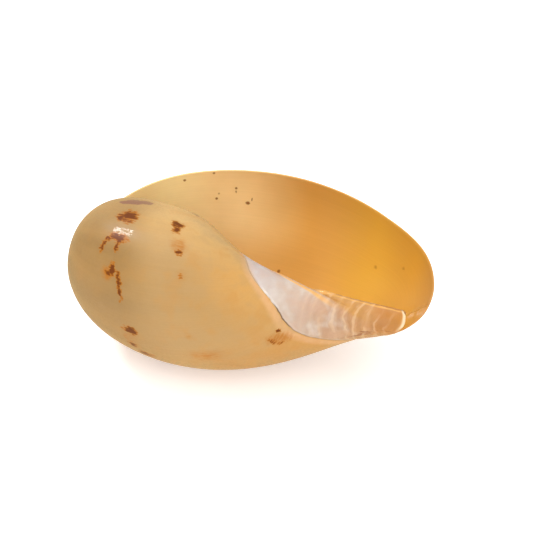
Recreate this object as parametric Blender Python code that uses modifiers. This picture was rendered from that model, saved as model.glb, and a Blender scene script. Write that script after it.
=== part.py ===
# Large melon shell: an involute, right-handed volute lying on its back, aperture up.
# The shell is one spiral sheet. Its outline grows by the same factor in every turn about the
# coiling axis, and the long front tails of the turns roll up into the columella.
# Metres, +Z up. Origin at the bottom centre of the shell's box.

import math

import bmesh
import bpy
import numpy as np

# The outline of the whorl at the outer lip, from the suture over the shoulder to the tail:
# distance along the coiling axis from its pole, and distance from the axis
OUTLINE = (
    (0.0065, 0.0110),
    (-0.0107, 0.0193),
    (-0.0144, 0.0308),
    (-0.0056, 0.0498),
    (0.0190, 0.0705),
    (0.0530, 0.0836),
    (0.0980, 0.0884),
    (0.1549, 0.0777),
    (0.1934, 0.0583),
    (0.2272, 0.0360),
    (0.3059, 0.0138),
    (0.4177, 0.0086),
    (0.5680, 0.0117),
)
SUTURE_START = 0.0125  # length of the outline that would lie inside the earlier whorl
WHORL_GROWTH = 2.888  # how much the outline grows in one turn
TURNS = 2.0  # turns that have a wall, before the first dome
LIP_ANGLE = math.radians(12.1)  # the outer lip stands this far above the horizontal

# Where the turns end at the front and at the outer lip
FRONT_LIP = 0.2096  # front end of the outer lip, along the axis
FRONT_BEAK = 0.2015  # front end of the columella
FRONT_ROUNDING = 0.25  # how softly the lip turns into the front margin, radians of turn
BEAK_TURN = (1.6, 0.35)  # where the margin changes from lip to beak, and how softly
LIP_SWEEP = 6.45  # how fast the ends of the lip fall back, radians per square metre
LIP_MIDDLE = 0.0945
LIP_SWEEP_END = (0.165, 0.220)  # the sweep fades between these
LIP_PULL = (0.025, 0.5)  # the lip curls in by this share of its radius, over this turn
NOTCH_TURN = 0.45  # depth of the siphonal notch, radians of turn
NOTCH_AT = 1.25  # its middle, radians of turn past the lip's front end
NOTCH_WIDTHS = (0.40, 0.85)  # on its lip side, and on its beak side

# Wall
WALL = 0.0030  # in the middle of the last whorl, at its shoulder end
WALL_INNER_SHARE = 0.45  # share of it that doesn't shrink with the turns
WALL_FRONT_LOSS = 0.30  # the front of the whorl is this much thinner than its back
WALL_YOUNG_LOSS = 0.30  # and the youngest shell, at the lip, this much thinner than the rest
WALL_YOUNG_TURN = 1.3
LIP_EDGE_SHARE = 0.62  # the wall thins to this at the lip's edge
LIP_EDGE_WIDTH = 0.012

# Relief on the columella, as distances along the axis at the lip's scale
CREASE_AT = 0.2270
CREASE_WIDTH = 0.0045
CREASE_DEPTH = 0.0012
VALLEYS = (
    (0.2850, 0.0075, 0.0010),
    (0.3240, 0.0120, 0.0042),
)
PLEAT_FADE = (2.6, 3.6)  # the pleats rise between these turns back from the lip

# Core: the first dome, and the solid pillar that the tails are wound on
DOME_CENTRE = 0.0110
DOME_BACK = 0.0154
DOME_FRONT = 0.0198
DOME_RADIUS = 0.0132
PILLAR_TAPER = 0.0206  # radius of the pillar for each metre from the pole
PILLAR_LEAST = 0.0028
PILLAR_FULL_TAPER = 0.055  # the same on the side where it fills the wall
PILLAR_FILLET = (0.244, 0.291)  # between these, at the lip's scale, it fills the wall's inner side
PILLAR_TIP = 0.0045  # length of its rounded end
TIP_END = FRONT_BEAK + 0.0022
PILLAR_INSET = 0.0010  # it lies this far under the sheet's outer side
PILLAR_NOTCH = (-0.15, 0.20)  # its fill fades out past the sheet's end, over this turn
TAIL_SINK = 0.0006  # and the end of the tail sinks this far into it
TAIL_END = (0.470, 0.560)

# Rest
PITCH = math.radians(4.2)  # the front end is raised by this
REST_FLAT = 0.0006  # depth of the worn flat that the shell rests on

# Fineness of the mesh
LIP_COLUMNS = 32
INNER_COLUMNS = 14
COLUMN_CROWDING = 1.15  # columns stand closer near the lip
ROWS = (  # stretches of the outline, and the rows in each
    (0.000, 0.095, 5),
    (0.095, 0.200, 5),
    (0.200, 0.292, 6),
    (0.292, 0.302, 2),
    (0.302, 0.345, 3),
    (0.345, 0.365, 2),
    (0.365, 0.407, 5),
    (0.407, 0.441, 2),
    (0.441, 0.660, 5),
)
CORE_SIDES = 16
DOME_STATIONS = 9
PILLAR_STATIONS = 15
TIP_STATIONS = 4

GROWTH_RATE = math.log(WHORL_GROWTH) / (2 * math.pi)


def smooth_curve(points, where):
    """A natural cubic spline through points, read at lengths measured along its chords."""
    points = np.array(points)
    length = np.concatenate(([0.0], np.cumsum(np.linalg.norm(np.diff(points, axis=0), axis=1))))
    step = np.diff(length)
    slope = np.diff(points, axis=0) / step[:, None]
    count = len(points)
    system = np.eye(count)
    right = np.zeros_like(points)
    for i in range(1, count - 1):
        system[i, i - 1:i + 2] = (step[i - 1], 2 * (step[i - 1] + step[i]), step[i])
        right[i] = 6 * (slope[i] - slope[i - 1])
    bend = np.linalg.solve(system, right)
    i = np.clip(np.searchsorted(length, where) - 1, 0, count - 2)
    a = (where - length[i])[:, None]
    b = (length[i + 1] - where)[:, None]
    h = step[i][:, None]
    return ((bend[i] * b ** 3 + bend[i + 1] * a ** 3) / (6 * h)
            + (points[i] / h - bend[i] * h / 6) * b
            + (points[i + 1] / h - bend[i + 1] * h / 6) * a)


def growth(turn):
    return np.exp(-GROWTH_RATE * turn)


def smooth_step(value, low, high):
    share = np.clip((value - low) / (high - low), 0.0, 1.0)
    return share * share * (3 - 2 * share)


def margin(along):
    """The turn at which the sheet ends, for outline points at these distances along the axis."""
    safe = np.maximum(along, 0.001)
    front = np.full_like(safe, FRONT_LIP)
    for _ in range(4):
        tail = np.log(safe / front) / GROWTH_RATE
        beak = 1 / (1 + np.exp(-(np.clip(tail, -3, 9) - BEAK_TURN[0]) / BEAK_TURN[1]))
        front = FRONT_LIP + (FRONT_BEAK - FRONT_LIP) * beak
    cut = FRONT_ROUNDING * np.log1p(np.exp(np.clip(tail / FRONT_ROUNDING, -40, 40)))
    edge = np.where(along > LIP_MIDDLE, cut, 0.0)
    fade = np.clip((LIP_SWEEP_END[1] - along) / (LIP_SWEEP_END[1] - LIP_SWEEP_END[0]), 0, 1)
    edge += LIP_SWEEP * (along - LIP_MIDDLE) ** 2 * fade
    width = np.where(cut < NOTCH_AT, *NOTCH_WIDTHS)
    edge += NOTCH_TURN * np.exp(-((cut - NOTCH_AT) / width) ** 2) * (tail > 0)
    return edge


def relief(along, turn):
    """Height of the pleats and of the crease beside the callus, at the lip's scale."""
    rise = smooth_step(turn, *PLEAT_FADE)
    height = -CREASE_DEPTH * np.exp(-((along - CREASE_AT) / CREASE_WIDTH) ** 2)
    for at, width, depth in VALLEYS:
        height = height - depth * rise * np.exp(-((along - at) / width) ** 2)
    return height


def sheet_points(rows, columns):
    """Points of the sheet's outer side, its turns, and its distances along the outline's axis."""
    line = smooth_curve(OUTLINE, SUTURE_START + rows)
    edge = margin(line[:, :1])
    turn = edge + (TURNS * 2 * math.pi - edge) * columns[None, :] ** COLUMN_CROWDING
    along = np.broadcast_to(line[:, :1], turn.shape)
    radius = np.broadcast_to(line[:, 1:], turn.shape)
    size = growth(turn)
    angle = LIP_ANGLE - turn
    pull = 1 - LIP_PULL[0] * np.exp(-turn / LIP_PULL[1])
    out = (radius * pull + relief(along, turn)) * size
    out = out - TAIL_SINK * smooth_step(along, *TAIL_END)
    points = np.stack((along * size, out * np.cos(angle), out * np.sin(angle)), axis=-1)
    return points, turn, along, turn - edge


def wall_thickness(points, turn, from_edge):
    size = growth(turn)
    wall = WALL * (WALL_INNER_SHARE + (1 - WALL_INNER_SHARE) * size)
    wall = wall * (1 - WALL_FRONT_LOSS * np.clip(points[..., 0] / FRONT_LIP, 0, 1))
    wall = wall * (1 - WALL_YOUNG_LOSS * np.exp(-turn / WALL_YOUNG_TURN))
    reach = from_edge * np.linalg.norm(points[..., 1:], axis=-1)
    return wall * (LIP_EDGE_SHARE + (1 - LIP_EDGE_SHARE) * smooth_step(reach, 0, LIP_EDGE_WIDTH))


def tail_radius():
    """The outline's tail as a table of distance along the axis and radius, to read between."""
    line = smooth_curve(OUTLINE, np.linspace(0.25, 0.67, 200))
    return line[:, 0], line[:, 1]


def pillar_radius(x, angle):
    """Radius of the pillar at a place along the axis and an angle round it."""
    turn = LIP_ANGLE - angle
    turn_low = math.log(PILLAR_FILLET[0] / x) / GROWTH_RATE
    turn += 2 * math.pi * math.ceil((turn_low - turn) / (2 * math.pi))
    along = x / growth(turn)
    plain = PILLAR_TAPER * x
    tail_along, tail_out = tail_radius()
    outer = float(np.interp(along, tail_along, tail_out) + relief(along, turn)) * growth(turn)
    if along > tail_along[-1]:
        outer = plain
    outer -= PILLAR_INSET * (1 - smooth_step(along, *TAIL_END))
    end = float(margin(np.array([along]))[0])
    fillet = smooth_step(along, *PILLAR_FILLET) * smooth_step(turn - end, *PILLAR_NOTCH)
    return max(PILLAR_LEAST, plain + (min(outer, x * PILLAR_FULL_TAPER) - plain) * fillet)


def buried_in_pillar(point, along):
    """True where the sheet's outer side lies well inside the pillar."""
    if along < PILLAR_FILLET[1] or point.x < DOME_CENTRE:
        return False
    angle = math.atan2(point.z, point.y)
    return math.hypot(point.y, point.z) < pillar_radius(point.x, angle) - TAIL_SINK / 2


def new_object(name, mesh, collection):
    obj = bpy.data.objects.new(name, mesh)
    collection.objects.link(obj)
    return obj


def make_sheet(collection):
    """The spiral wall: an open grid wound on the growth spiral, with Solidify for its wall."""
    lengths = [np.linspace(low, high, count, endpoint=False) for low, high, count in ROWS]
    rows = np.concatenate(lengths + [[ROWS[-1][1]]])
    columns = np.linspace(0, 1, LIP_COLUMNS + INNER_COLUMNS + 1)
    points, turn, along, from_edge = sheet_points(rows, columns)
    wall = wall_thickness(points, turn, from_edge)

    bm = bmesh.new()
    bmesh.ops.create_grid(bm, x_segments=len(columns) - 1, y_segments=len(rows) - 1, size=0.5)
    layer = bm.verts.layers.deform.verify()
    buried = []
    for vertex in bm.verts:
        column = round((vertex.co.x + 0.5) * (len(columns) - 1))
        row = round((vertex.co.y + 0.5) * (len(rows) - 1))
        vertex.co = points[row, column]
        vertex[layer][0] = wall[row, column] / WALL
        if buried_in_pillar(vertex.co, along[row, column]):
            buried.append(vertex)
    hidden = set(buried)
    faces = [face for face in bm.faces if all(vertex in hidden for vertex in face.verts)]
    bmesh.ops.delete(bm, geom=faces, context="FACES")
    mesh = bpy.data.meshes.new("shell")
    bm.to_mesh(mesh)
    bm.free()

    sheet = new_object("shell", mesh, collection)
    group = sheet.vertex_groups.new(name="wall")
    solidify = sheet.modifiers.new("wall", "SOLIDIFY")
    solidify.thickness = WALL
    solidify.offset = -1
    solidify.use_even_offset = True
    solidify.vertex_group = group.name
    solidify.use_rim = True
    return sheet


def core_stations():
    """Places along the axis where the core has a ring, from the first dome to the tip."""
    back = DOME_CENTRE - DOME_BACK * np.cos(np.linspace(0, math.pi / 2, DOME_STATIONS // 2 + 1))
    front = DOME_CENTRE + DOME_FRONT * np.sin(np.linspace(0, math.pi / 2, DOME_STATIONS // 2 + 1))
    straight = TIP_END - PILLAR_TIP
    pillar = np.linspace(DOME_CENTRE + DOME_FRONT, straight, PILLAR_STATIONS + 1)
    tip = straight + PILLAR_TIP * np.sin(np.linspace(0, math.pi / 2, TIP_STATIONS + 1))
    return np.concatenate((back, front[1:], pillar[1:], tip[1:]))


def core_radius(x, angle):
    half = DOME_BACK if x < DOME_CENTRE else DOME_FRONT
    dome = DOME_RADIUS * math.sqrt(max(0.0, 1 - ((x - DOME_CENTRE) / half) ** 2))
    if x < DOME_CENTRE:
        return dome
    into_tip = max(0.0, (x - TIP_END + PILLAR_TIP) / PILLAR_TIP)
    return max(dome, pillar_radius(x, angle) * math.sqrt(max(0.0, 1 - into_tip ** 2)))


def make_core(collection):
    """The first dome and the pillar: a sphere's rings, set out along the coiling axis."""
    stations = core_stations()
    bm = bmesh.new()
    bmesh.ops.create_uvsphere(bm, u_segments=CORE_SIDES, v_segments=len(stations) - 1, radius=1.0)
    for vertex in bm.verts:
        ring = round(math.acos(max(-1.0, min(1.0, vertex.co.z))) / math.pi * (len(stations) - 1))
        angle = math.atan2(vertex.co.x, vertex.co.y)
        x = float(stations[ring])
        out = core_radius(x, angle) if 0 < ring < len(stations) - 1 else 0.0
        vertex.co = (x, out * math.cos(angle), out * math.sin(angle))
    bmesh.ops.recalc_face_normals(bm, faces=bm.faces)
    mesh = bpy.data.meshes.new("core")
    bm.to_mesh(mesh)
    bm.free()
    return new_object("core", mesh, collection)


def make_rest_cutter(collection, size):
    """A block whose top is the floor: it leaves the worn flat that the shell rests on."""
    bm = bmesh.new()
    bmesh.ops.create_cube(bm, size=size)
    mesh = bpy.data.meshes.new("floor_cutter")
    bm.to_mesh(mesh)
    bm.free()
    cutter = new_object("floor_cutter", mesh, collection)
    cutter.location.z = -size / 2
    return cutter


def make_material():
    material = bpy.data.materials.new("shell")
    material.use_nodes = True
    finish = material.node_tree.nodes["Principled BSDF"]
    finish.inputs["Base Color"].default_value = (0.72, 0.47, 0.22, 1.0)
    finish.inputs["Roughness"].default_value = 0.22
    finish.inputs["Metallic"].default_value = 0.0
    return material


def set_as_tool(obj):
    obj.hide_render = True
    obj.display_type = "WIRE"


def add_boolean(obj, tool, operation):
    modifier = obj.modifiers.new(tool.name, "BOOLEAN")
    modifier.operation = operation
    modifier.solver = "EXACT"
    modifier.use_self = operation == "UNION"
    modifier.object = tool
    return modifier


def apply_modifiers(obj):
    bpy.context.view_layer.update()
    evaluated = obj.evaluated_get(bpy.context.evaluated_depsgraph_get())
    obj.data = bpy.data.meshes.new_from_object(evaluated)
    obj.modifiers.clear()


def keep_main_body(mesh):
    """Removes the slivers left where the turns lie against each other round the core."""
    bm = bmesh.new()
    bm.from_mesh(mesh)
    waiting = set(bm.faces)
    bodies = []
    while waiting:
        reached = [waiting.pop()]
        body = set(reached)
        while reached:
            joints = [edge for edge in reached.pop().edges if len(edge.link_faces) == 2]
            for edge in joints:
                near = [face for face in edge.link_faces if face in waiting]
                waiting.difference_update(near)
                body.update(near)
                reached.extend(near)
        bodies.append(body)
    bodies.sort(key=len)
    for body in bodies[:-1]:
        bmesh.ops.delete(bm, geom=list(body), context="FACES")
    bm.to_mesh(mesh)
    bm.free()


def world_corners(obj):
    """Lowest and highest corner of a mesh in world space."""
    bpy.context.view_layer.update()
    local = np.empty(len(obj.data.vertices) * 3)
    obj.data.vertices.foreach_get("co", local)
    matrix = np.array(obj.matrix_world)
    world = local.reshape(-1, 3) @ matrix[:3, :3].T + matrix[:3, 3]
    return world.min(axis=0), world.max(axis=0)


def main():
    for obj in list(bpy.data.objects):
        bpy.data.objects.remove(obj, do_unlink=True)

    parts = bpy.data.collections.new("melon_shell")
    cutters = bpy.data.collections.new("cutters")
    bpy.context.scene.collection.children.link(parts)
    bpy.context.scene.collection.children.link(cutters)

    pose = bpy.data.objects.new("pose", None)
    parts.objects.link(pose)
    pose.rotation_euler.y = -PITCH

    shell = make_sheet(parts)
    core = make_core(cutters)
    shell.parent = pose
    core.parent = pose
    add_boolean(shell, core, "UNION")
    apply_modifiers(shell)
    keep_main_body(shell.data)

    low, high = world_corners(shell)
    pose.location.x = -(low[0] + high[0]) / 2
    pose.location.y = -(low[1] + high[1]) / 2
    pose.location.z = -low[2] - REST_FLAT
    floor_cutter = make_rest_cutter(cutters, 2 * FRONT_LIP)
    add_boolean(shell, floor_cutter, "DIFFERENCE")

    set_as_tool(core)
    set_as_tool(floor_cutter)
    shell.data.materials.append(make_material())
    shell.data.polygons.foreach_set("use_smooth", [True] * len(shell.data.polygons))
    bpy.context.view_layer.update()


main()
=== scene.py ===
# A large melon shell on a pale studio floor: the spiral wall, its columella, the finish and the light
import math
from types import SimpleNamespace

import bpy
import numpy as np
from mathutils import Matrix, Vector


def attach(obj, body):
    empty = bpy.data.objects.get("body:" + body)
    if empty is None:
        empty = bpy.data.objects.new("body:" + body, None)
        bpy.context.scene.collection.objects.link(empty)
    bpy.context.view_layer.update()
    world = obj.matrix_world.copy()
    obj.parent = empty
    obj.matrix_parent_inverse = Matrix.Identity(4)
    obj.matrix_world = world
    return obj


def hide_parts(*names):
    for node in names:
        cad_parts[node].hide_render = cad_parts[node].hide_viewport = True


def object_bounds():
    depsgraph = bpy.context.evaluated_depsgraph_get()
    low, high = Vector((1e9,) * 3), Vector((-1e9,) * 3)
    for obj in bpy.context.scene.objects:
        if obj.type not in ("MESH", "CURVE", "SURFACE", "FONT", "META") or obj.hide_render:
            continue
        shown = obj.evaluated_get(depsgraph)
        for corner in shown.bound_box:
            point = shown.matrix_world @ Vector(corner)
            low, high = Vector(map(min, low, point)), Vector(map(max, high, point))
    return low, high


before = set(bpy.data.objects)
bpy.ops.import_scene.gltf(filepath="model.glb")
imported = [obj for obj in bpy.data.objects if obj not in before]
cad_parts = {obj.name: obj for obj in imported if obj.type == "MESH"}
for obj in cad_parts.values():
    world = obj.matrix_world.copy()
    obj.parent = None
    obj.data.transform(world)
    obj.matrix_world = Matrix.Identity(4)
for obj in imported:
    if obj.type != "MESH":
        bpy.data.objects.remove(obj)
cadBox = [list(corner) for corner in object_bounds()]
bpy.ops.object.select_all(action="DESELECT")
print("frame loaded, box", [[round(value, 4) for value in corner] for corner in cadBox])

# Shell: metres and radians. A place is along the coiling axis from its pole, at the lip's scale, and a turn
# goes back from the lip
shell = {
    "outline": [  # the whorl at the outer lip, suture to tail: place on the axis, distance from it
        (0.0065, 0.0110), (-0.0107, 0.0193), (-0.0144, 0.0308), (-0.0056, 0.0498), (0.0190, 0.0705),
        (0.0530, 0.0836), (0.0980, 0.0884), (0.1549, 0.0777), (0.1934, 0.0583), (0.2272, 0.0360),
        (0.3059, 0.0138), (0.4177, 0.0086), (0.5680, 0.0117),
    ],
    "sutureStart": 0.0125,  # the length of outline that the wall leaves out
    "growthPerTurn": 2.888,
    "turns": 2.0,
    "lipAngle": math.radians(12.1),  # the outer lip above the horizontal
    "frontOfLip": 0.2096,  # where the front edge cuts the wall, at the lip
    "frontOfBeak": 0.2058,  # and at the beak
    "frontRounding": 0.25,
    "beakTurn": (1.6, 0.35),  # where the lip's front gives way to the beak's: turn, softness
    "beakTop": (4.33, 0.18, 0.0040),  # the beak's upper corner is rounded off: turn, softness, loss
    "beakLow": (2.68, 0.17, 0.0042),  # and its lower corner
    "lipSweep": 6.45,  # how fast the lip's ends fall back
    "lipMiddle": 0.0945,
    "lipSweepEnd": (0.165, 0.220),  # the sweep fades out between these places
    "lipPull": (0.025, 0.5),  # the lip is drawn in: share, and the turn that it fades over
    "lipHeel": (0.094, -0.0066, 0.011),  # the lip's back end falls away faster: turn, place, reach
    "dent": (0.0085, 5.2, 0.65, 0.100, 0.060),  # flatter dome by the lip: depth, turn, place, with reaches
    "notch": (0.45, 1.22, 0.38, 0.74),  # siphonal notch: depth, place and the widths of its two sides
    "pitch": math.radians(4.2),
    "poleAt": (-0.09609, -0.01661, 0.06279),
    "restFlat": 0.0006,  # the worn flat that it lies on is this deep
    "boxShare": 0.9999,  # of the frame's box, at most
    "rows": [(0.0, 0.200, 66), (0.200, 0.405, 82), (0.405, 0.660, 20)],  # from, to, count
    "columns": 262,
    "lipColumns": 6,
    "crowding": 0.5,  # how much closer the columns stand near the lip, 0 to 1
    "leastSpeed": 0.012,  # metres from the edge for each radian, at the least
}
wall = {
    "thick": 0.0030,
    "innerShare": 0.45,  # of the thickness that doesn't shrink with the whorls
    "frontLoss": 0.30,
    "youngLoss": 0.30,  # the wall is thinner near the lip
    "youngTurn": 1.3,  # and fills out over this turn
    "edgeShare": 0.62,
    "edgeWidth": 0.012,
    "rounding": 0.0009,  # radius that the lip's edge is rounded with
}
pleats = {
    "crease": (0.2260, 0.0045, 0.0012),  # where the callus ends: place, width, depth
    "creaseWave": (0.0024, 200, 42),  # it wanders: how far, and degrees of turn of a crest and half a wave
    "valleys": [(0.2730, 0.0075, 0.0010), (0.3065, 0.0110, 0.0070)],
    "ridgeSink": (0.0080, (4.45, 4.85), (0.300, 0.318)),  # the last pleat dives in: depth, turns, places
    "fade": (3.2, 4.5),
    "tailSink": 0.0006,
    "tailEnd": (0.470, 0.560),
}
core = {
    "domeCentre": 0.0110,
    "domeBack": 0.0154,
    "domeFront": 0.0198,
    "domeRadius": 0.0132,
    "domeAlong": 0.020,  # the place that the finish reads all over the dome
    "taper": 0.0206,
    "least": 0.0028,
    "fullTaper": 0.055,
    "fillet": (0.244, 0.291),
    "tipLength": 0.0045,
    "tipEnd": 0.2037,
    "inset": 0.0010,
    "notchFade": (-0.15, 0.20),
    "tail": (0.25, 0.67, 200),  # the stretch of outline that it is wound in: from, to, points
    "sides": 64,
    "rings": 110,
    "ringsAt": (0.12, 0.24, 0.92),  # shares of the rings up to the dome's middle, its front and the tip
}
growthRate = math.log(shell["growthPerTurn"]) / (2 * math.pi)


def smoothCurve(points, where):  # natural cubic spline, read at lengths along its chords
    points = np.array(points)
    length = np.concatenate(([0.0], np.cumsum(np.linalg.norm(np.diff(points, axis=0), axis=1))))
    step = np.diff(length)
    slope = np.diff(points, axis=0) / step[:, None]
    count = len(points)
    system = np.eye(count)
    right = np.zeros_like(points)
    for i in range(1, count - 1):
        system[i, i - 1:i + 2] = (step[i - 1], 2 * (step[i - 1] + step[i]), step[i])
        right[i] = 6 * (slope[i] - slope[i - 1])
    bend = np.linalg.solve(system, right)
    i = np.clip(np.searchsorted(length, where) - 1, 0, count - 2)
    a = (where - length[i])[:, None]
    b = (length[i + 1] - where)[:, None]
    h = step[i][:, None]
    return ((bend[i] * b ** 3 + bend[i + 1] * a ** 3) / (6 * h)
            + (points[i] / h - bend[i] * h / 6) * b
            + (points[i + 1] / h - bend[i + 1] * h / 6) * a)


def growth(turn):
    return np.exp(-growthRate * turn)


def shareOf(value, low, high):
    return np.clip((value - low) / (high - low), 0.0, 1.0)


def smoothStep(value, low, high):
    share = shareOf(value, low, high)
    return share * share * (3 - 2 * share)


def softStep(value, middle, softness):
    return 1 / (1 + np.exp(-(value - middle) / softness))


def lipTurn(along):  # the turn at which the wall ends
    safe = np.maximum(along, 0.001)  # its logarithm is taken
    topTurn, topSoft, topLoss = shell["beakTop"]
    lowTurn, lowSoft, lowLoss = shell["beakLow"]
    front = np.full_like(safe, shell["frontOfLip"])
    for _ in range(4):  # the front edge and its turn settle on each other
        tail = np.log(safe / front) / growthRate
        held = np.clip(tail, -3, 9)
        beak = softStep(held, *shell["beakTurn"])
        front = shell["frontOfLip"] + (shell["frontOfBeak"] - shell["frontOfLip"]) * beak
        front = front - topLoss * softStep(held, topTurn, topSoft)
        front = front - lowLoss * beak * (1 - softStep(held, lowTurn, lowSoft))
    rounding = shell["frontRounding"]
    cut = rounding * np.log1p(np.exp(np.clip(tail / rounding, -40, 40)))
    edge = np.where(along > shell["lipMiddle"], cut, 0.0)
    low, high = shell["lipSweepEnd"]
    edge += shell["lipSweep"] * (along - shell["lipMiddle"]) ** 2 * shareOf(along, high, low)
    heel, place, reach = shell["lipHeel"]
    edge += heel * np.exp(-(along - place) / reach)
    depth, place, lipSide, beakSide = shell["notch"]
    edge += depth * np.exp(-((cut - place) / np.where(cut < place, lipSide, beakSide)) ** 2) * (tail > 0)
    return edge


def creasePlace(turn):
    reach, crest, halfWave = pleats["creaseWave"]
    return pleats["crease"][0] + reach * np.cos((np.degrees(turn) - crest) / halfWave * math.pi)


def pastCrease(along, turn):  # millimetres
    return (along - creasePlace(turn)) * 1000


def relief(along, turn):  # crease and pleats, at the lip's scale
    width, depth = pleats["crease"][1:]
    height = -depth * np.exp(-((along - creasePlace(turn)) / width) ** 2)
    rise = smoothStep(turn, *pleats["fade"])
    for place, width, depth in pleats["valleys"]:
        height = height - depth * rise * np.exp(-((along - place) / width) ** 2)
    depth, turns, places = pleats["ridgeSink"]
    height = height - depth * smoothStep(turn, *turns) * smoothStep(along, *places)
    depth, middle, spread, place, width = shell["dent"]
    return height - depth * np.exp(-((turn - middle) / spread) ** 2 - ((along - place) / width) ** 2)


def sheetPoint(along, radius, turn):
    size = growth(turn)
    angle = shell["lipAngle"] - turn
    pull = 1 - shell["lipPull"][0] * np.exp(-turn / shell["lipPull"][1])
    out = (radius * pull + relief(along, turn)) * size
    out = out - pleats["tailSink"] * smoothStep(along, *pleats["tailEnd"])
    return np.stack((along * size, out * np.cos(angle), out * np.sin(angle)), axis=-1)


def wallThickness(points, turn, fromEdge):
    thick = wall["thick"] * (wall["innerShare"] + (1 - wall["innerShare"]) * growth(turn))
    thick = thick * (1 - wall["frontLoss"] * np.clip(points[..., 0] / shell["frontOfLip"], 0, 1))
    thick = thick * (1 - wall["youngLoss"] * np.exp(-turn / wall["youngTurn"]))
    reach = fromEdge * np.linalg.norm(points[..., 1:], axis=-1)
    return thick * (wall["edgeShare"] + (1 - wall["edgeShare"]) * smoothStep(reach, 0, wall["edgeWidth"]))


def edgeSpeed(line, edge):  # metres away from the lip's edge for each radian
    nudge = 0.001
    lip = sheetPoint(line[:, 0], line[:, 1], edge)
    back = (sheetPoint(line[:, 0], line[:, 1], edge + nudge) - lip) / nudge
    rim = np.gradient(lip, axis=0)
    rim /= np.linalg.norm(rim, axis=1)[:, None]
    speed = np.linalg.norm(back - rim * np.sum(back * rim, axis=1)[:, None], axis=1)
    return np.maximum(speed, shell["leastSpeed"])[:, None]


def columnTurns(edge, speed):  # a few columns round off the lip's edge, and the others run back from it
    roundOff = 1 - np.cos(np.linspace(0, math.pi / 2, shell["lipColumns"] + 1))[None, :]
    start = edge[:, None] + wall["rounding"] / speed
    full = shell["turns"] * 2 * math.pi
    share = np.linspace(0, 1, shell["columns"] - shell["lipColumns"])[None, 1:]
    share = (1 - shell["crowding"]) * share + shell["crowding"] * share ** 3
    return np.concatenate((edge[:, None] + roundOff * wall["rounding"] / speed,
                           start + (full - start) * share), axis=1)


def spiralSheet():  # outer and inner points of the wall, and where they lie on the spiral
    lengths = [np.linspace(low, high, count, endpoint=False) for low, high, count in shell["rows"]]
    lengths = np.concatenate(lengths + [[shell["rows"][-1][1]]])
    line = smoothCurve(shell["outline"], shell["sutureStart"] + lengths)
    edge = lipTurn(line[:, 0])
    speed = edgeSpeed(line, edge)
    turn = columnTurns(edge, speed)
    along = np.broadcast_to(line[:, :1], turn.shape)
    radius = np.broadcast_to(line[:, 1:], turn.shape)
    points = sheetPoint(along, radius, turn)
    outward = np.cross(np.gradient(points, axis=0), np.gradient(points, axis=1))
    outward /= np.maximum(np.linalg.norm(outward, axis=2), 1e-12)[:, :, None]
    fromEdge = turn - edge[:, None]
    thick = wallThickness(points, turn, fromEdge)
    inEdge = np.clip(fromEdge * speed / wall["rounding"], 0, 1)
    rounded = thick * np.sqrt(1 - (1 - inEdge) ** 2)
    rounded[0] = rounded[-1] = rounded[:, -1] = 0.0  # the hidden ends close to a line
    outer = points + outward * ((thick + rounded) / 2)[:, :, None]
    inner = points + outward * ((thick - rounded) / 2)[:, :, None]
    return outer, inner, {
        "along": along, "turn": turn, "age": fromEdge, "axial": points[..., 0],
        "pastCrease": pastCrease(along, turn),
    }


def giveValues(mesh, values):
    for name, numbers in values.items():
        layer = mesh.attributes.new(name, "FLOAT", "POINT")
        layer.data.foreach_set("value", np.ascontiguousarray(numbers, dtype=np.float32).ravel())


def vertexPlaces(piece):
    places = np.empty(len(piece.data.vertices) * 3)
    piece.data.vertices.foreach_get("co", places)
    return places.reshape(-1, 3)


def moveVertices(piece, places):
    piece.data.vertices.foreach_set("co", places.ravel())
    piece.data.update()


def addSide(name, points, values):  # one side of the wall: a grid, bent to the spiral
    rows, columns = points.shape[:2]
    bpy.ops.mesh.primitive_grid_add(x_subdivisions=columns - 1, y_subdivisions=rows - 1, size=1)
    side = bpy.context.object
    side.name = side.data.name = name
    flat = vertexPlaces(side)
    column = np.rint((flat[:, 0] + 0.5) * (columns - 1)).astype(int)
    row = np.rint((flat[:, 1] + 0.5) * (rows - 1)).astype(int)
    moveVertices(side, points[row, column])
    giveValues(side.data, {key: value[row, column] for key, value in values.items()})
    return side


def pillarRadius(x, angle):  # and the place and turn of the tail that lies there
    turn = shell["lipAngle"] - angle
    turnLow = np.log(core["fillet"][0] / x) / growthRate
    turn = turn + 2 * math.pi * np.ceil((turnLow - turn) / (2 * math.pi))
    along = x / growth(turn)
    plain = core["taper"] * x
    tailAlong, tailOut = smoothCurve(shell["outline"], np.linspace(*core["tail"])).T
    outer = (np.interp(along, tailAlong, tailOut) + relief(along, turn)) * growth(turn)
    outer = np.where(along > tailAlong[-1], plain, outer)
    outer = outer - core["inset"] * (1 - smoothStep(along, *pleats["tailEnd"]))
    fillet = smoothStep(along, *core["fillet"]) * smoothStep(turn - lipTurn(along), *core["notchFade"])
    filled = plain + (np.minimum(outer, x * core["fullTaper"]) - plain) * fillet
    return np.maximum(core["least"], filled), along, turn


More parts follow.
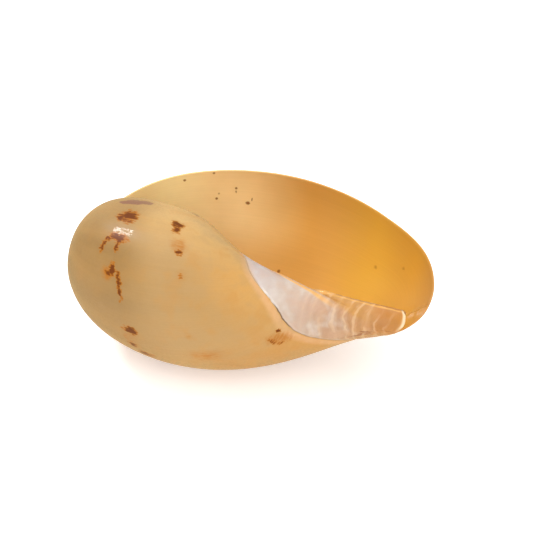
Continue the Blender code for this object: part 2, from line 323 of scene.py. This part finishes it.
def addCore():  # the first dome, and the pillar that the tails are wound on: a sphere drawn out
    bpy.ops.mesh.primitive_uv_sphere_add(segments=core["sides"], ring_count=core["rings"], radius=1)
    pillar = bpy.context.object
    pillar.name = "core"
    ball = vertexPlaces(pillar)
    ring = np.arccos(np.clip(ball[:, 2], -1, 1)) / math.pi
    angle = np.arctan2(ball[:, 0], ball[:, 1])
    middle, quarter = core["domeCentre"], math.pi / 2
    back, front = middle - core["domeBack"], middle + core["domeFront"]
    straight = core["tipEnd"] - core["tipLength"]
    widest, domeEnd, tipStart = core["ringsAt"]
    x = np.select([ring < widest, ring < domeEnd, ring < tipStart], [
        middle - core["domeBack"] * np.cos(shareOf(ring, 0, widest) * quarter),
        middle + core["domeFront"] * np.sin(shareOf(ring, widest, domeEnd) * quarter),
        front + (straight - front) * shareOf(ring, domeEnd, tipStart),
    ], straight + core["tipLength"] * np.sin(shareOf(ring, tipStart, 1) * quarter))
    half = np.where(x < middle, core["domeBack"], core["domeFront"])
    dome = core["domeRadius"] * np.sqrt(np.maximum(0.0, 1 - ((x - middle) / half) ** 2))
    radius, along, turn = pillarRadius(np.maximum(x, middle), angle)
    intoTip = np.clip((x - straight) / core["tipLength"], 0, 1)
    out = np.where(x < middle, dome, np.maximum(dome, radius * np.sqrt(1 - intoTip ** 2)))
    out = np.where((x <= back + 1e-7) | (x >= core["tipEnd"] - 1e-7), 0.0, out)  # both poles close
    moveVertices(pillar, np.stack((x, out * np.cos(angle), out * np.sin(angle)), axis=1))
    along = np.where(x < front, core["domeAlong"], along)
    giveValues(pillar.data, {
        "along": along, "turn": turn, "age": turn, "axial": x, "pastCrease": pastCrease(along, turn),
        "inside": np.zeros(len(x)),
    })
    return pillar


def onAllFaces(operator, **settings):  # an edit-mode operator, on the whole of the active object
    bpy.ops.object.mode_set(mode="EDIT")
    bpy.ops.mesh.select_all(action="SELECT")
    operator(**settings)
    bpy.ops.object.mode_set(mode="OBJECT")


def joinTo(piece, other):  # both are selected, and the first keeps its name
    other.select_set(True)
    piece.select_set(True)
    bpy.context.view_layer.objects.active = piece
    bpy.ops.object.join()


def layDown(piece):  # on its back: pitched, held to the frame's box and flat where it rests
    turned = np.array(Matrix.Rotation(-shell["pitch"], 3, "Y"))
    places = vertexPlaces(piece) @ turned.T + np.array(shell["poleAt"])
    low, high = np.array(cadBox[0]), np.array(cadBox[1])
    low[2] -= shell["restFlat"]
    middle = (low + high) / 2
    scale = (high - low) / (places.max(axis=0) - places.min(axis=0))
    print("fitted by", [round(float(value), 5) for value in scale])
    places = (places - middle) * np.minimum(scale, 1) * shell["boxShare"] + middle
    places += np.maximum(low - places.min(axis=0), 0) - np.maximum(places.max(axis=0) - high, 0)
    places[:, 2] = np.maximum(places[:, 2], cadBox[0][2])
    moveVertices(piece, places)


outer, inner, places = spiralSheet()
innerSide = addSide("innerSide", inner, {**places, "inside": np.ones_like(places["turn"])})
melonShell = addSide("melonShell", outer, {**places, "inside": np.zeros_like(places["turn"])})
onAllFaces(bpy.ops.mesh.flip_normals)
joinTo(melonShell, innerSide)
onAllFaces(bpy.ops.mesh.remove_doubles, threshold=0.000002)  # closes the wall at the lip and hidden ends
print("wall made,", len(melonShell.data.polygons), "faces")

pillar = addCore()
onAllFaces(bpy.ops.mesh.normals_make_consistent, inside=False)
joinTo(melonShell, pillar)
bpy.ops.object.shade_smooth()
layDown(melonShell)
print("shell made,", sum(len(face.vertices) - 2 for face in melonShell.data.polygons), "triangles")


def tone(red, green, blue):  # a colour as a paint card gives it, 0 to 255
    return tuple((((value / 255) + 0.055) / 1.055) ** 2.4 for value in (red, green, blue)) + (1.0,)


def put(tree, kind, inputs=None, **settings):  # a node with its settings; inputs are numbers or sockets
    made = tree.nodes.new("ShaderNode" + kind)
    for name, value in settings.items():
        setattr(made, name, value)
    for name, value in (inputs or {}).items():
        if isinstance(value, bpy.types.NodeSocket):
            tree.links.new(value, made.inputs[name])
        else:
            made.inputs[name].default_value = value
    return made


def math2(tree, operation, first, second=0.0):
    return put(tree, "Math", {0: first, 1: second}, operation=operation).outputs[0]


def times(tree, first, *others):
    for other in others:
        first = math2(tree, "MULTIPLY", first, other)
    return first


def vector2(tree, operation, first, second):
    return put(tree, "VectorMath", {0: first, 1: second}, operation=operation).outputs[0]


def ease(tree, value, low, high, toLow=0.0, toHigh=1.0):
    reach = {"Value": value, "From Min": low, "From Max": high, "To Min": toLow, "To Max": toHigh}
    return put(tree, "MapRange", reach, interpolation_type="SMOOTHSTEP").outputs["Result"]


def noise(tree, vector, scale, detail=2.0, roughness=0.5):
    settings = {"Vector": vector, "Scale": scale, "Detail": detail, "Roughness": roughness}
    return put(tree, "TexNoise", settings)


def blend(tree, share, first, second):
    return put(tree, "Mix", {0: share, 6: first, 7: second}, data_type="RGBA").outputs[2]


def ramp(tree, metres, stops):  # a row of tones
    made = put(tree, "ValToRGB", {"Fac": times(tree, metres, finish["tonesPerMetre"])})
    made.color_ramp.interpolation = "EASE"
    elements = made.color_ramp.elements
    elements[0].position, elements[0].color = stops[0]
    elements[1].position, elements[1].color = stops[-1]
    for position, color in stops[1:-1]:
        elements.new(position).color = color
    return made.outputs["Color"]


def makeSpotGroup():  # a soft oval mark on the spiral: millimetres along, degrees of turn
    group = bpy.data.node_groups.new("spiralSpot", "ShaderNodeTree")
    for name in ("Place", "Centre", "Size"):
        group.interface.new_socket(name=name, in_out="INPUT", socket_type="NodeSocketVector")
    group.interface.new_socket(name="Mask", in_out="OUTPUT", socket_type="NodeSocketFloat")
    start, end = group.nodes.new("NodeGroupInput"), group.nodes.new("NodeGroupOutput")
    away = vector2(group, "SUBTRACT", start.outputs["Place"], start.outputs["Centre"])
    scaled = vector2(group, "DIVIDE", away, start.outputs["Size"])
    distance = put(group, "VectorMath", {0: scaled}, operation="LENGTH").outputs["Value"]
    group.links.new(ease(group, distance, 1.5, 0.0), end.inputs["Mask"])  # gone at 1.5 times its half size
    return group


spotGroup = makeSpotGroup()


def spots(tree, place, marks):  # the strongest of several marks
    strongest = None
    for along, turn, halfAlong, halfTurn, strength in marks:
        spot = tree.nodes.new("ShaderNodeGroup")
        spot.node_tree = spotGroup
        tree.links.new(place, spot.inputs["Place"])
        spot.inputs["Centre"].default_value = (along, turn, 0)
        spot.inputs["Size"].default_value = (halfAlong, halfTurn, 1)
        mask = times(tree, spot.outputs["Mask"], strength)
        strongest = mask if strongest is None else math2(tree, "MAXIMUM", strongest, mask)
    return strongest


def maskOf(tree, at, *masks):  # the product of masks: what each reads, from, to, and the share at either end
    read = [ease(tree, getattr(at, name), *span) if span else getattr(at, name) for name, *span in masks]
    return times(tree, *read)


def layered(tree, at, colour, look):  # each layer is a tone of the look, over the colour, by its masks
    for toneName, *masks in look["layers"]:
        colour = blend(tree, maskOf(tree, at, *masks), colour, look[toneName])
    return colour


# Finish: what the whole surface shares
finish = {
    "skin": {
        "Subsurface Weight": 0.1, "Subsurface Radius": (1.0, 0.45, 0.2), "Subsurface Scale": 0.0015,
        "Specular IOR Level": 0.22, "Coat Roughness": 0.04,
    },
    "tonesPerMetre": 4,  # a row of tones runs over 0.25 m
    "shaker": (320, 2.0),  # noises in the object: scale, detail and, for some, roughness
    "clouds": (22, 4.0),
    "mottle": (75, 2.0, 0.6),
    "crackle": (720, 1.0),
    "shake": (9, 6, 0),  # how far a ragged edge wanders: millimetres, degrees
    "lines": {  # noises along the growth lines: scale across them, scale along them, detail
        "fineLines": (1.1, 0.012, 4.0), "bands": (0.045, 0.006, 1.0), "streaks": (0.62, 0.09, 3.0),
    },
    "linesRoughness": 0.6,
    "lineShade": (0.3, 0.7, 0.975, 1.015),  # the fine lines darken and lighten a little
    "bump": {"Strength": 0.6, "Distance": 0.0009},
    "grooveDepth": -0.6,  # heights, as shares of the bump's distance
    "fineDepth": 0.05,
    "roughness": (0.3, 0.7, 0.32, 0.42),
    "coat": [
        ("inside", 0.2, 0.8, 0.34, 0.02), ("crackle", 0.45, 0.55, 0.0, 1.0), ("mark", 0.1, 0.4, 1.0, 0.2),
    ],
}

# Outside. A layer is a tone and what it comes in by: a reading, from, to, and the tone's share at either end.
# A mark is millimetres along, degrees of turn, half sizes of both, and strength
outside = {
    "tones": [(0.05, "grey"), (0.26, "grey"), (0.52, "cream"), (0.86, "orange")],
    "grey": tone(132, 102, 60),
    "cream": tone(168, 135, 88),
    "orange": tone(190, 143, 78),
    "underside": tone(180, 126, 60),
    "peach": tone(197, 160, 104),
    "nearCrease": tone(214, 168, 128),
    "rust": tone(164, 96, 12),
    "brown": tone(98, 46, 0),
    "purple": tone(126, 84, 66),
    "layers": [
        ("peach", ("degrees", 225, 275), ("millimetres", 60, 150, 0.35, 1.0)),
        ("orange", ("bands", 0.3, 0.8, 0.0, 0.3)),
        ("grey", ("clouds", 0.3, 0.85, 0.0, 0.25)),
        ("cream", ("degrees", 225, 175, 0, 0.4)),
        ("underside", ("degrees", 175, 120, 0, 0.6)),
        ("nearCrease", ("pastCrease", -11, -5), ("pastCrease", 0, -3, 0, 0.45)),
        ("cream", ("mottle", 0.46, 0.66, 0, 0.35), ("millimetres", 70, 170, 0.3, 1.0)),
        ("underside", ("mottle", 0.50, 0.32, 0, 0.30), ("millimetres", 70, 170, 0.3, 1.0)),
        ("rust", ("warm", 0.05, 1.1, 0, 0.75)),
        ("rust", ("mark", 0.0, 0.26, 0, 0.9)),
        ("brown", ("mark", 0.14, 0.60, 0, 0.97)),
        ("purple", ("streak", 0.2, 0.5, 0, 0.9)),
    ],
    "warmHatching": (0.3, 0.7, 0.5, 1.0),
    "brownHatching": (0.38, 0.66, 0, 0.42),
    "brownMarks": [
        (74.5, 262, 9, 8, 1.0), (68.5, 262.5, 8, 8.5, 1.0), (62, 260.5, 9, 5.5, 0.85),
        (66.5, 240.6, 14, 3.8, 1.0), (53.5, 239, 5, 2.6, 0.9), (49.8, 235, 3.2, 3.4, 0.9),
        (47.5, 230.5, 3.2, 4, 0.9), (68.5, 234.5, 3, 6.5, 0.9), (66.5, 217, 4.5, 5.5, 1.0),
        (60.5, 213.5, 6, 4, 0.6), (73.7, 214, 3.6, 4, 0.95), (75.6, 208.5, 3.6, 6, 0.95),
        (76, 201, 3, 5, 0.8), (79.5, 175, 10, 3.4, 0.9), (72.5, 160, 5.5, 3, 0.9),
        (81, 150.5, 9, 4, 0.85), (137.5, 267, 9, 4.6, 1.0), (138, 260, 7, 4.4, 0.75),
        (144.4, 240.2, 4.2, 2.6, 0.9), (147, 222, 3, 2.4, 0.5), (215, 165, 3.2, 2.4, 0.9),
        (203.5, 155, 2.4, 7, 0.55), (207, 150, 5, 2, 0.5), (70, 118, 9, 3, 0.9),
        (76, 104, 6, 6, 0.85), (68, 72, 11, 4, 0.95), (60, 64, 4, 6, 0.8),
        (72, 38, 7, 4, 0.8), (150, 120, 7, 4, 0.8), (154, 84, 9, 4, 0.9),
        (148, 46, 6, 5, 0.8),
    ],
    "warmMarks": [
        (59, 213, 9, 6, 1.2), (144, 246, 13, 8, 1.0), (148, 223, 9, 6, 0.5),
        (71, 167, 6, 5, 0.8), (209.5, 156.5, 11, 9, 1.3), (143.4, 177, 6, 4, 0.55),
        (148, 158, 22, 7, 0.9), (142, 268, 11, 7, 0.5), (68, 246, 20, 14, 0.35),
        (78, 166, 9, 12, 0.6), (72, 70, 15, 9, 0.5), (154, 86, 14, 8, 0.5),
        (120, 244, 14, 6, 0.3),
    ],
    "purpleMarks": [
        (51, 283.5, 10, 5, 0.9), (64, 287.5, 14, 7, 1.2), (79, 292, 12, 6, 1.1),
        (153, 304, 13, 1.6, 0.6),
    ],
}


def outsideColour(tree, at):
    at.warm = times(tree, spots(tree, at.ragged, outside["warmMarks"]),
                    ease(tree, at.streaks, *outside["warmHatching"]))
    at.mark = math2(tree, "SUBTRACT", spots(tree, at.ragged, outside["brownMarks"]),
                    ease(tree, at.streaks, *outside["brownHatching"]))
    at.streak = spots(tree, at.ragged, outside["purpleMarks"])
    stops = [(place, outside[name]) for place, name in outside["tones"]]
    return layered(tree, at, ramp(tree, at.along, stops), outside)


# Callus on the columella, with its pleats, wrinkles and red marks; highlights are painted on the pleats, and
# highlight and shade on the wrinkles
callus = {
    "tones": [
        (0.44, tone(183, 175, 172)), (0.55, tone(180, 160, 144)), (0.65, tone(176, 140, 110)),
        (0.71, tone(180, 134, 88)), (0.77, tone(172, 116, 58)), (0.84, tone(176, 120, 52)),
    ],
    "pink": tone(186, 148, 124),
    "pale": tone(200, 192, 184),
    "betweenPleats": tone(182, 134, 76),
    # a painted highlight: the lit line along the pleat's crest, and along the far pleat's rim
    "paintedCrestHighlight": tone(214, 160, 86),
    "redBrown": tone(126, 66, 30),
    # painted highlight on the wrinkles' crests, and painted shade in their troughs
    "paintedRippleHighlight": tone(222, 192, 156),
    "paintedRippleShade": tone(140, 92, 48),
    "layers": [
        ("pink", ("mottle", 0.40, 0.70, 0, 0.4), ("axial", 0.190, 0.150, 0.1, 1.0)),
        ("pale", ("mottle", 0.52, 0.30, 0, 0.42), ("axial", 0.190, 0.150, 0.1, 1.0)),
        ("betweenPleats", ("millimetres", 292, 306), ("axial", 0.192, 0.174)),
        # painted highlight along the pleat's crest
        ("paintedCrestHighlight", ("fromCrest", -6.5, -1), ("fromCrest", 8, 1), ("degrees", 190, 225, 0, 0.9)),
        # painted highlight along the far pleat's upper rim
        ("paintedCrestHighlight", ("farRim", 0.0, 0.8, 0, 0.8)),
        ("redBrown", ("red", -0.15, 0.3, 0, 0.8)),
        ("paintedRippleHighlight", ("ripples", 0.5, 1.0, 0, 0.26), ("rippled",)),
        ("paintedRippleShade", ("ripples", 0.0, -1.0, 0, 0.25), ("rippled",)),
    ],
    "crestPlace": (225, 275, 291, 281),  # from and to in turn, and millimetres along the crest at both
    # where the painted highlight lies along the far pleat's rim
    "farRimMarks": [
        (326, 254, 16, 6, 1.0), (345, 244, 20, 5, 1.0), (375, 244, 24, 5, 1.0),
        (402, 247, 22, 5, 1.0),
    ],
    "redMarks": [
        (260.8, 126.5, 5, 3.5, 1.3), (268, 134, 6, 4, 0.9), (252, 124, 12, 3, 0.7),
        (290, 138, 9, 3, 0.6),
    ],
    "redHatching": 0.8,
    "rippleRate": (1040, 0.04),  # radians for each metre of the axis, less those for each millimetre along
    "rippleFolds": (60, 3.0),  # the noise that bends them
    "rippleBend": 13,  # and how far
    "ripplePatches": (120, 1.0),
    "rippled": [
        ("axial", 0.135, 0.172, 0.12, 1.0), ("patches", 0.34, 0.56, 0.25, 1.0),
        ("axial", 0.184, 0.196, 1.0, 0.4),
    ],
}


def callusColour(tree, at):
    at.fromCrest = math2(tree, "SUBTRACT", at.millimetres, ease(tree, at.degrees, *callus["crestPlace"]))
    at.farRim = spots(tree, at.flat, callus["farRimMarks"])
    at.red = math2(tree, "SUBTRACT", spots(tree, at.ragged, callus["redMarks"]),
                   times(tree, at.streaks, callus["redHatching"]))
    perMetre, perMillimetre = callus["rippleRate"]
    folds = noise(tree, at.spot, *callus["rippleFolds"]).outputs["Fac"]
    phase = math2(tree, "ADD", times(tree, at.axial, perMetre), times(tree, folds, callus["rippleBend"]))
    phase = math2(tree, "SUBTRACT", phase, times(tree, at.millimetres, perMillimetre))
    at.ripples = math2(tree, "SINE", phase)
    at.patches = noise(tree, at.spot, *callus["ripplePatches"]).outputs["Fac"]
    at.rippled = maskOf(tree, at, *callus["rippled"])
    return layered(tree, at, ramp(tree, at.axial, callus["tones"]), callus)


# Crease: millimetres past it, and degrees of turn. Over one stretch a painted highlight runs along it, and
# before that stretch its line is darker
crease = {
    "wander": 3.0,  # millimetres
    "softness": (212, 240, 0.8, 6.0),  # from and to in turn, and millimetres at both
    # light: a painted highlight, the glint along the crease's line and shoulder
    "light": tone(226, 220, 214),
    "dark": tone(112, 84, 60),
    "line": [("creaseReach", -1.2, 0.0), ("creaseReach", 1.4, 0.2)],
    "shoulder": [("creaseReach", 0, 1.2), ("creaseReach", 5, 2)],
    "layers": [
        ("light", ("shine",), ("degrees", 188, 200, 0.1, 0.8), ("degrees", 230, 214),
         ("mottle", 0.35, 0.6, 0.2, 0.9)),
        ("dark", ("creaseLine",), ("degrees", 158, 168, 0.35, 0.9), ("degrees", 202, 190)),
    ],
}


def joinAtCrease(tree, at, body, columella):
    wander = times(tree, math2(tree, "SUBTRACT", at.shaker, 0.5), crease["wander"])
    at.creaseReach = math2(tree, "ADD", at.pastCrease, wander)
    softness = ease(tree, at.degrees, *crease["softness"])
    at.onCallus = ease(tree, at.creaseReach, times(tree, softness, -1), softness)
    at.creaseLine = maskOf(tree, at, *crease["line"])
    # where the crease's painted highlight falls: its line and its shoulder
    at.shine = math2(tree, "MAXIMUM", maskOf(tree, at, *crease["shoulder"]), at.creaseLine)
    return layered(tree, at, blend(tree, at.onCallus, body, columella), crease)


# Inside, with painted shade deep in the whorl and a painted glow, and the edges that both sides share, with a
# faint painted highlight on the outer lip
inside = {
    "tones": [
        (0.04, tone(255, 232, 166)), (0.20, tone(250, 214, 150)), (0.45, tone(212, 153, 72)),
        (0.62, tone(209, 153, 55)), (0.75, tone(195, 136, 44)), (0.84, tone(170, 117, 52)),
    ],
    # painted shade, deeper in the whorl beside the parietal wall
    "paintedDeepShade": tone(196, 132, 44),
    # painted glow: a lighter yellow band of painted light on the inside
    "paintedGlow": tone(220, 168, 62),
    "cloud": outside["orange"],
    "speck": tone(122, 68, 16),
    "layers": [
        ("paintedDeepShade", ("degrees", 23, 44, 0, 0.6), ("axial", 0.130, 0.090)),
        ("paintedGlow", ("lit", 0.0, 1.0, 0, 0.15)),
        ("cloud", ("clouds", 0.3, 0.85, 0.0, 0.3)),
        ("speck", ("specks", -0.05, 0.4, 0, 0.85)),
    ],
    "paintedGlowMarks": [(176, 38, 34, 10, 1.0)],
    "speckMarks": [
        (25.7, 5.7, 1.4, 1.0, 0.8), (58.1, 10.2, 1.2, 0.9, 0.8), (58.3, 12, 1.1, 1.2, 0.6),
        (47.2, 13.6, 1.2, 1.0, 0.6), (46.1, 16.2, 1.3, 0.9, 0.9), (67.2, 17.0, 2.0, 1.1, 1.0),
        (69.6, 15.0, 0.8, 1.4, 0.7), (43.5, 2.3, 1.3, 0.9, 0.7), (103.8, 45.6, 1.9, 1.3, 0.9),
        (173.7, 29.2, 2.6, 2.0, 0.55), (193.1, 22.2, 2.6, 2.0, 0.5),
    ],
    "speckGrain": 0.7,
}
edges = {
    # lip: a pale rim painted along the outer lip as a faint highlight
    "lip": tone(204, 160, 98),
    "beak": tone(226, 204, 168),
    "layers": [
        # painted highlight along the outer lip's rim
        ("lip", ("age", 0.035, 0.004), ("turn", 1.6, 1.0, 0, 0.25)),
        ("beak", ("age", 0.065, 0.025), ("turn", 2.3, 2.9, 0, 0.8)),
    ],
}


def insideColour(tree, at):
    # where the painted glow lies
    at.lit = spots(tree, at.flat, inside["paintedGlowMarks"])
    at.specks = math2(tree, "SUBTRACT", spots(tree, at.flat, inside["speckMarks"]),
                      times(tree, at.shaker, inside["speckGrain"]))
    return layered(tree, at, ramp(tree, at.axial, inside["tones"]), inside)


def readSurface(tree):  # where a point lies on the spiral, and the noises that the looks share
    at = SimpleNamespace()
    for name in ("along", "turn", "age", "axial", "inside", "pastCrease"):
        setattr(at, name, put(tree, "Attribute", attribute_name=name).outputs["Fac"])
    at.spot = put(tree, "TexCoord").outputs["Object"]
    at.millimetres = times(tree, at.along, 1000)
    at.degrees = times(tree, at.turn, 180 / math.pi)
    at.flat = put(tree, "CombineXYZ", {"X": at.millimetres, "Y": at.degrees}).outputs[0]
    shaker = noise(tree, at.spot, *finish["shaker"])
    centred = vector2(tree, "SUBTRACT", shaker.outputs["Color"], (0.5, 0.5, 0.5))
    at.ragged = vector2(tree, "ADD", at.flat, vector2(tree, "MULTIPLY", centred, finish["shake"]))
    at.shaker = shaker.outputs["Fac"]
    for name in ("clouds", "mottle", "crackle"):
        setattr(at, name, noise(tree, at.spot, *finish[name]).outputs["Fac"])
    ageDegrees = times(tree, at.age, 180 / math.pi)
    for name, (acrossLines, alongLines, detail) in finish["lines"].items():
        drawn = put(tree, "CombineXYZ", {"X": times(tree, at.millimetres, alongLines),
                                         "Y": times(tree, ageDegrees, acrossLines)}).outputs[0]
        setattr(at, name, noise(tree, drawn, 1.0, detail, finish["linesRoughness"]).outputs["Fac"])
    return at


def makeShellMaterial():
    material = bpy.data.materials.new("polishedShell")
    material.use_nodes = True
    tree = material.node_tree
    skin = tree.nodes["Principled BSDF"]
    for name, value in finish["skin"].items():
        skin.inputs[name].default_value = value
    at = readSurface(tree)
    body = joinAtCrease(tree, at, outsideColour(tree, at), callusColour(tree, at))
    colour = layered(tree, at, blend(tree, at.inside, body, insideColour(tree, at)), edges)
    shade = ease(tree, at.fineLines, *finish["lineShade"])
    shaded = put(tree, "VectorMath", {0: colour, "Scale": shade}, operation="SCALE").outputs[0]
    tree.links.new(shaded, skin.inputs["Base Color"])

    # wrinkles on the callus, the crease, growth lines, and a little unevenness in the polish
    wrinkles = times(tree, ease(tree, at.ripples, -1.0, 1.0), times(tree, at.onCallus, at.rippled))
    groove = times(tree, at.creaseLine, finish["grooveDepth"])
    fine = math2(tree, "ADD", times(tree, at.fineLines, finish["fineDepth"]),
                 times(tree, at.shaker, finish["fineDepth"]))
    height = math2(tree, "ADD", math2(tree, "ADD", fine, wrinkles), groove)
    bump = put(tree, "Bump", {**finish["bump"], "Height": height})
    tree.links.new(bump.outputs[0], skin.inputs["Normal"])
    tree.links.new(ease(tree, at.clouds, *finish["roughness"]), skin.inputs["Roughness"])
    tree.links.new(maskOf(tree, at, *finish["coat"]), skin.inputs["Coat Weight"])
    return material


melonShell.data.materials.clear()
melonShell.data.materials.append(makeShellMaterial())
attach(melonShell, "root")
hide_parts("shell")
print("shell finished")

# Studio: pale floor, soft light, and the camera; metres and degrees
studio = {
    "floorSize": 6.0,
    "floorTones": (tone(250, 250, 249), tone(248, 248, 247)),
    "floorGrain": 60,
    "floorRoughness": 0.8,
    "floorGlow": 0.32,
    "skyTones": (tone(240, 214, 166), tone(184, 184, 184)),  # low and high
    "skyHeights": (-0.15, 0.25),
    "skyStrength": 1.00,
    "lights": [  # name, place, width, height, power
        ("window", (-1.12, 0.08, 1.30), 0.30, 0.44, 13),
        ("frontSoftbox", (1.0, -2.0, 1.9), 2.6, 2.6, 57),
        ("overheadSoftbox", (-0.2, 0.2, 2.6), 3.4, 3.4, 51),
    ],
    "lightsAim": (0, 0, 0.05),
    "cameraTurn": 25.18,
    "cameraHeight": 38.84,
    "cameraDistance": 1.32,
    "lens": 143.6,
    "lookFrom": (-0.00175, -0.01661, 0.06975),  # the point that the camera stands back from
    "aimRight": 0.02297,  # and how far beside and above it the camera aims
    "aimUp": 0.00087,
}


def makeFloorPaint():
    paint = bpy.data.materials.new("palePaint")
    paint.use_nodes = True
    tree = paint.node_tree
    skin = tree.nodes["Principled BSDF"]
    grain = noise(tree, put(tree, "TexCoord").outputs["Object"], studio["floorGrain"]).outputs["Fac"]
    colour = blend(tree, ease(tree, grain, 0.3, 0.7), *studio["floorTones"])
    tree.links.new(colour, skin.inputs["Base Color"])
    skin.inputs["Roughness"].default_value = studio["floorRoughness"]
    skin.inputs["Emission Color"].default_value = (1, 1, 1, 1)
    skin.inputs["Emission Strength"].default_value = studio["floorGlow"]
    return paint


def addSky():
    world = bpy.data.worlds.new("studioWorld")
    world.use_nodes = True
    tree = world.node_tree
    light = tree.nodes["Background"]
    height = put(tree, "SeparateXYZ", {0: put(tree, "TexCoord").outputs["Generated"]}).outputs["Z"]
    colour = blend(tree, ease(tree, height, *studio["skyHeights"]), *studio["skyTones"])
    tree.links.new(colour, light.inputs["Color"])
    light.inputs["Strength"].default_value = studio["skyStrength"]
    bpy.context.scene.world = world


def addLight(name, place, width, height, power):
    bpy.ops.object.light_add(type="AREA", location=place)
    light = bpy.context.object
    light.name = name
    light.data.shape = "RECTANGLE"
    light.data.size = width
    light.data.size_y = height
    light.data.energy = power
    light.visible_glossy = name == "window"  # only the window shows as a glint
    light.rotation_euler = (Vector(studio["lightsAim"]) - Vector(place)).to_track_quat("-Z", "Y").to_euler()


def addCamera():
    turned, raised = math.radians(studio["cameraTurn"]), math.radians(studio["cameraHeight"])
    level = math.cos(raised)
    back = Vector((math.sin(turned) * level, -math.cos(turned) * level, math.sin(raised)))
    right = Vector((math.cos(turned), math.sin(turned), 0))
    up = back.cross(right)
    centre = Vector(studio["lookFrom"])
    bpy.ops.object.camera_add(location=centre + back * studio["cameraDistance"])
    camera = bpy.context.object
    depth = (camera.location - (centre + right * studio["aimRight"] + up * studio["aimUp"])).normalized()
    side = up.cross(depth).normalized()
    camera.rotation_euler = Matrix((side, depth.cross(side), depth)).transposed().to_euler()
    camera.data.lens = studio["lens"]
    camera.data.sensor_width = 36
    camera.data.clip_start = 0.05
    bpy.context.scene.camera = camera


bpy.ops.mesh.primitive_plane_add(size=studio["floorSize"], location=(0, 0, 0))
floor = bpy.context.object
floor.name = "studioFloor"
floor.data.materials.append(makeFloorPaint())
floor.visible_glossy = False
bpy.context.scene.view_settings.view_transform = "Standard"
addSky()
for light in studio["lights"]:
    addLight(*light)
addCamera()
print("studio and camera placed")
